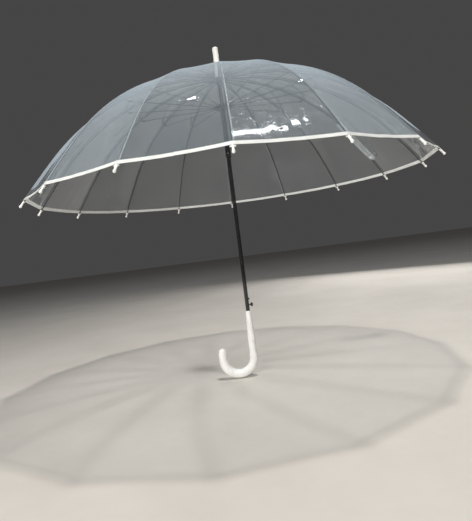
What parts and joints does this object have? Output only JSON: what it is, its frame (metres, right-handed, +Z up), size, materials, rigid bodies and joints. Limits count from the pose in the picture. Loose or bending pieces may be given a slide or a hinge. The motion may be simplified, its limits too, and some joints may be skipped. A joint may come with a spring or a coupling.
{
  "type": "bubble umbrella",
  "caption": "Clear dome umbrella, open, with a crook handle, a black shaft, slim dark ribs under a see-through film canopy and a white edge.",
  "frame": {"origin": "middle of the straight grip, on the shaft axis", "axes": "+Z up along the shaft to the ferrule, +X towards the release button, crook towards -X, first rib towards -Y"},
  "size_m": [1.0008, 1.0008, 0.8422],
  "materials": {
    "shaft": "gloss black enamel on steel tube",
    "ferrule": "smooth white",
    "crown": "fine satin",
    "wire": "drawn wire",
    "handle": "pearl gloss",
    "button": "gloss",
    "catch": "blackened",
    "runner": "satin gloss",
    "plug": "turned",
    "spring": "spring wire",
    "strap": "clear film",
    "rib": "pultruded fibreglass",
    "stretcher": "black",
    "film": "clear gloss film"
  },
  "bodies": {
    "root": {"shaft": "shaft", "ferrule": "ferrule", "crown": "crown", "crown_wire": "wire", "handle": "handle"},
    "runner_body": {"runner": "runner", "runner_wire": "wire", "drive_plug": "plug", "opening_spring": "spring"},
    "button_body": {"release_button": "button"},
    "catch_body": {"catch_spring": "catch"},
    "rib_body_01": {"rib_01": "rib", "canopy_gore_01": "film"},
    "stretcher_body_01": {"stretcher_01": "stretcher"},
    "rib_body_02": {"rib_02": "rib", "canopy_gore_02": "film"},
    "stretcher_body_02": {"stretcher_02": "stretcher"},
    "rib_body_03": {"rib_03": "rib", "canopy_gore_03": "film"},
    "stretcher_body_03": {"stretcher_03": "stretcher"},
    "rib_body_04": {"rib_04": "rib", "canopy_gore_04": "film"},
    "stretcher_body_04": {"stretcher_04": "stretcher"},
    "rib_body_05": {"rib_05": "rib", "canopy_gore_05": "film"},
    "stretcher_body_05": {"stretcher_05": "stretcher"},
    "rib_body_06": {"rib_06": "rib", "canopy_gore_06": "film", "tie_strap": "strap"},
    "stretcher_body_06": {"stretcher_06": "stretcher"},
    "rib_body_07": {"rib_07": "rib", "canopy_gore_07": "film"},
    "stretcher_body_07": {"stretcher_07": "stretcher"},
    "rib_body_08": {"rib_08": "rib", "canopy_gore_08": "film"},
    "stretcher_body_08": {"stretcher_08": "stretcher"},
    "rib_body_09": {"rib_09": "rib", "canopy_gore_09": "film"},
    "stretcher_body_09": {"stretcher_09": "stretcher"},
    "rib_body_10": {"rib_10": "rib", "canopy_gore_10": "film"},
    "stretcher_body_10": {"stretcher_10": "stretcher"},
    "rib_body_11": {"rib_11": "rib", "canopy_gore_11": "film"},
    "stretcher_body_11": {"stretcher_11": "stretcher"},
    "rib_body_12": {"rib_12": "rib", "canopy_gore_12": "film"},
    "stretcher_body_12": {"stretcher_12": "stretcher"},
    "rib_body_13": {"rib_13": "rib", "canopy_gore_13": "film"},
    "stretcher_body_13": {"stretcher_13": "stretcher"},
    "rib_body_14": {"rib_14": "rib", "canopy_gore_14": "film"},
    "stretcher_body_14": {"stretcher_14": "stretcher"},
    "rib_body_15": {"rib_15": "rib", "canopy_gore_15": "film"},
    "stretcher_body_15": {"stretcher_15": "stretcher"},
    "rib_body_16": {"rib_16": "rib", "canopy_gore_16": "film"},
    "stretcher_body_16": {"stretcher_16": "stretcher"}
  },
  "joints": [
    {"name": "runner_slide", "type": "slide", "parent": "root", "child": "runner_body", "axis": [0, 0, 1], "range_m": [-0.36801, 0], "stiffness_N_per_m": 110, "springref_m": 0.1, "deforming": ["opening_spring"]},
    {"name": "button_press", "type": "slide", "parent": "root", "child": "button_body", "axis": [-1, 0, 0], "range_m": [0, 0.0028], "stiffness_N_per_m": 600},
    {"name": "catch_press", "type": "slide", "parent": "root", "child": "catch_body", "axis": [-1, 0, 0], "range_m": [0, 0.0028]},
    {"name": "rib_fold_01", "type": "hinge", "parent": "root", "child": "rib_body_01", "pos_m": [0, -0.0105, 0.66801], "axis": [1, 0, 0], "range_deg": [0, 58.33], "deforming": ["canopy_gore_01"]},
    {"name": "stretcher_fold_01", "type": "hinge", "parent": "rib_body_01", "child": "stretcher_body_01", "pos_m": [0, -0.23942, 0.61493], "axis": [1, 0, 0], "range_deg": [-126.55, 0]},
    {"name": "rib_fold_02", "type": "hinge", "parent": "root", "child": "rib_body_02", "pos_m": [0.00402, -0.0097, 0.66801], "axis": [0.9239, 0.3827, 0], "range_deg": [0, 58.33], "deforming": ["canopy_gore_02"]},
    {"name": "stretcher_fold_02", "type": "hinge", "parent": "rib_body_02", "child": "stretcher_body_02", "pos_m": [0.09162, -0.2212, 0.61493], "axis": [0.9239, 0.3827, 0], "range_deg": [-126.55, 0]},
    {"name": "rib_fold_03", "type": "hinge", "parent": "root", "child": "rib_body_03", "pos_m": [0.00743, -0.00743, 0.66801], "axis": [0.7071, 0.7071, 0], "range_deg": [0, 58.33], "deforming": ["canopy_gore_03"]},
    {"name": "stretcher_fold_03", "type": "hinge", "parent": "rib_body_03", "child": "stretcher_body_03", "pos_m": [0.1693, -0.1693, 0.61493], "axis": [0.7071, 0.7071, 0], "range_deg": [-126.55, 0]},
    {"name": "rib_fold_04", "type": "hinge", "parent": "root", "child": "rib_body_04", "pos_m": [0.0097, -0.00402, 0.66801], "axis": [0.3827, 0.9239, 0], "range_deg": [0, 58.33], "deforming": ["canopy_gore_04"]},
    {"name": "stretcher_fold_04", "type": "hinge", "parent": "rib_body_04", "child": "stretcher_body_04", "pos_m": [0.2212, -0.09162, 0.61493], "axis": [0.3827, 0.9239, 0], "range_deg": [-126.55, 0]},
    {"name": "rib_fold_05", "type": "hinge", "parent": "root", "child": "rib_body_05", "pos_m": [0.0105, 0, 0.66801], "axis": [0, 1, 0], "range_deg": [0, 58.33], "deforming": ["canopy_gore_05"]},
    {"name": "stretcher_fold_05", "type": "hinge", "parent": "rib_body_05", "child": "stretcher_body_05", "pos_m": [0.23942, 0, 0.61493], "axis": [0, 1, 0], "range_deg": [-126.55, 0]},
    {"name": "rib_fold_06", "type": "hinge", "parent": "root", "child": "rib_body_06", "pos_m": [0.0097, 0.00402, 0.66801], "axis": [-0.3827, 0.9239, 0], "range_deg": [0, 58.33], "deforming": ["canopy_gore_06", "tie_strap"]},
    {"name": "stretcher_fold_06", "type": "hinge", "parent": "rib_body_06", "child": "stretcher_body_06", "pos_m": [0.2212, 0.09162, 0.61493], "axis": [-0.3827, 0.9239, 0], "range_deg": [-126.55, 0]},
    {"name": "rib_fold_07", "type": "hinge", "parent": "root", "child": "rib_body_07", "pos_m": [0.00743, 0.00743, 0.66801], "axis": [-0.7071, 0.7071, 0], "range_deg": [0, 58.33], "deforming": ["canopy_gore_07"]},
    {"name": "stretcher_fold_07", "type": "hinge", "parent": "rib_body_07", "child": "stretcher_body_07", "pos_m": [0.1693, 0.1693, 0.61493], "axis": [-0.7071, 0.7071, 0], "range_deg": [-126.55, 0]},
    {"name": "rib_fold_08", "type": "hinge", "parent": "root", "child": "rib_body_08", "pos_m": [0.00402, 0.0097, 0.66801], "axis": [-0.9239, 0.3827, 0], "range_deg": [0, 58.33], "deforming": ["canopy_gore_08"]},
    {"name": "stretcher_fold_08", "type": "hinge", "parent": "rib_body_08", "child": "stretcher_body_08", "pos_m": [0.09162, 0.2212, 0.61493], "axis": [-0.9239, 0.3827, 0], "range_deg": [-126.55, 0]},
    {"name": "rib_fold_09", "type": "hinge", "parent": "root", "child": "rib_body_09", "pos_m": [0, 0.0105, 0.66801], "axis": [-1, 0, 0], "range_deg": [0, 58.33], "deforming": ["canopy_gore_09"]},
    {"name": "stretcher_fold_09", "type": "hinge", "parent": "rib_body_09", "child": "stretcher_body_09", "pos_m": [0, 0.23942, 0.61493], "axis": [-1, 0, 0], "range_deg": [-126.55, 0]},
    {"name": "rib_fold_10", "type": "hinge", "parent": "root", "child": "rib_body_10", "pos_m": [-0.00402, 0.0097, 0.66801], "axis": [-0.9239, -0.3827, 0], "range_deg": [0, 58.33], "deforming": ["canopy_gore_10"]},
    {"name": "stretcher_fold_10", "type": "hinge", "parent": "rib_body_10", "child": "stretcher_body_10", "pos_m": [-0.09162, 0.2212, 0.61493], "axis": [-0.9239, -0.3827, 0], "range_deg": [-126.55, 0]},
    {"name": "rib_fold_11", "type": "hinge", "parent": "root", "child": "rib_body_11", "pos_m": [-0.00743, 0.00743, 0.66801], "axis": [-0.7071, -0.7071, 0], "range_deg": [0, 58.33], "deforming": ["canopy_gore_11"]},
    {"name": "stretcher_fold_11", "type": "hinge", "parent": "rib_body_11", "child": "stretcher_body_11", "pos_m": [-0.1693, 0.1693, 0.61493], "axis": [-0.7071, -0.7071, 0], "range_deg": [-126.55, 0]},
    {"name": "rib_fold_12", "type": "hinge", "parent": "root", "child": "rib_body_12", "pos_m": [-0.0097, 0.00402, 0.66801], "axis": [-0.3827, -0.9239, 0], "range_deg": [0, 58.33], "deforming": ["canopy_gore_12"]},
    {"name": "stretcher_fold_12", "type": "hinge", "parent": "rib_body_12", "child": "stretcher_body_12", "pos_m": [-0.2212, 0.09162, 0.61493], "axis": [-0.3827, -0.9239, 0], "range_deg": [-126.55, 0]},
    {"name": "rib_fold_13", "type": "hinge", "parent": "root", "child": "rib_body_13", "pos_m": [-0.0105, 0, 0.66801], "axis": [0, -1, 0], "range_deg": [0, 58.33], "deforming": ["canopy_gore_13"]},
    {"name": "stretcher_fold_13", "type": "hinge", "parent": "rib_body_13", "child": "stretcher_body_13", "pos_m": [-0.23942, 0, 0.61493], "axis": [0, -1, 0], "range_deg": [-126.55, 0]},
    {"name": "rib_fold_14", "type": "hinge", "parent": "root", "child": "rib_body_14", "pos_m": [-0.0097, -0.00402, 0.66801], "axis": [0.3827, -0.9239, 0], "range_deg": [0, 58.33], "deforming": ["canopy_gore_14"]},
    {"name": "stretcher_fold_14", "type": "hinge", "parent": "rib_body_14", "child": "stretcher_body_14", "pos_m": [-0.2212, -0.09162, 0.61493], "axis": [0.3827, -0.9239, 0], "range_deg": [-126.55, 0]},
    {"name": "rib_fold_15", "type": "hinge", "parent": "root", "child": "rib_body_15", "pos_m": [-0.00743, -0.00743, 0.66801], "axis": [0.7071, -0.7071, 0], "range_deg": [0, 58.33], "deforming": ["canopy_gore_15"]},
    {"name": "stretcher_fold_15", "type": "hinge", "parent": "rib_body_15", "child": "stretcher_body_15", "pos_m": [-0.1693, -0.1693, 0.61493], "axis": [0.7071, -0.7071, 0], "range_deg": [-126.55, 0]},
    {"name": "rib_fold_16", "type": "hinge", "parent": "root", "child": "rib_body_16", "pos_m": [-0.00402, -0.0097, 0.66801], "axis": [0.9239, -0.3827, 0], "range_deg": [0, 58.33], "deforming": ["canopy_gore_16"]},
    {"name": "stretcher_fold_16", "type": "hinge", "parent": "rib_body_16", "child": "stretcher_body_16", "pos_m": [-0.09162, -0.2212, 0.61493], "axis": [0.9239, -0.3827, 0], "range_deg": [-126.55, 0]}
  ],
  "couplings": [
    {"joint": "catch_press", "follows": "button_press", "ratio": 1},
    {"joint": "rib_fold_01", "follows": "runner_slide", "rad_per_m": -2.7665},
    {"joint": "stretcher_fold_01", "follows": "runner_slide", "rad_per_m": 6.0018},
    {"joint": "rib_fold_02", "follows": "runner_slide", "rad_per_m": -2.7665},
    {"joint": "stretcher_fold_02", "follows": "runner_slide", "rad_per_m": 6.0018},
    {"joint": "rib_fold_03", "follows": "runner_slide", "rad_per_m": -2.7665},
    {"joint": "stretcher_fold_03", "follows": "runner_slide", "rad_per_m": 6.0018},
    {"joint": "rib_fold_04", "follows": "runner_slide", "rad_per_m": -2.7665},
    {"joint": "stretcher_fold_04", "follows": "runner_slide", "rad_per_m": 6.0018},
    {"joint": "rib_fold_05", "follows": "runner_slide", "rad_per_m": -2.7665},
    {"joint": "stretcher_fold_05", "follows": "runner_slide", "rad_per_m": 6.0018},
    {"joint": "rib_fold_06", "follows": "runner_slide", "rad_per_m": -2.7665},
    {"joint": "stretcher_fold_06", "follows": "runner_slide", "rad_per_m": 6.0018},
    {"joint": "rib_fold_07", "follows": "runner_slide", "rad_per_m": -2.7665},
    {"joint": "stretcher_fold_07", "follows": "runner_slide", "rad_per_m": 6.0018},
    {"joint": "rib_fold_08", "follows": "runner_slide", "rad_per_m": -2.7665},
    {"joint": "stretcher_fold_08", "follows": "runner_slide", "rad_per_m": 6.0018},
    {"joint": "rib_fold_09", "follows": "runner_slide", "rad_per_m": -2.7665},
    {"joint": "stretcher_fold_09", "follows": "runner_slide", "rad_per_m": 6.0018},
    {"joint": "rib_fold_10", "follows": "runner_slide", "rad_per_m": -2.7665},
    {"joint": "stretcher_fold_10", "follows": "runner_slide", "rad_per_m": 6.0018},
    {"joint": "rib_fold_11", "follows": "runner_slide", "rad_per_m": -2.7665},
    {"joint": "stretcher_fold_11", "follows": "runner_slide", "rad_per_m": 6.0018},
    {"joint": "rib_fold_12", "follows": "runner_slide", "rad_per_m": -2.7665},
    {"joint": "stretcher_fold_12", "follows": "runner_slide", "rad_per_m": 6.0018},
    {"joint": "rib_fold_13", "follows": "runner_slide", "rad_per_m": -2.7665},
    {"joint": "stretcher_fold_13", "follows": "runner_slide", "rad_per_m": 6.0018},
    {"joint": "rib_fold_14", "follows": "runner_slide", "rad_per_m": -2.7665},
    {"joint": "stretcher_fold_14", "follows": "runner_slide", "rad_per_m": 6.0018},
    {"joint": "rib_fold_15", "follows": "runner_slide", "rad_per_m": -2.7665},
    {"joint": "stretcher_fold_15", "follows": "runner_slide", "rad_per_m": 6.0018},
    {"joint": "rib_fold_16", "follows": "runner_slide", "rad_per_m": -2.7665},
    {"joint": "stretcher_fold_16", "follows": "runner_slide", "rad_per_m": 6.0018}
  ]
}
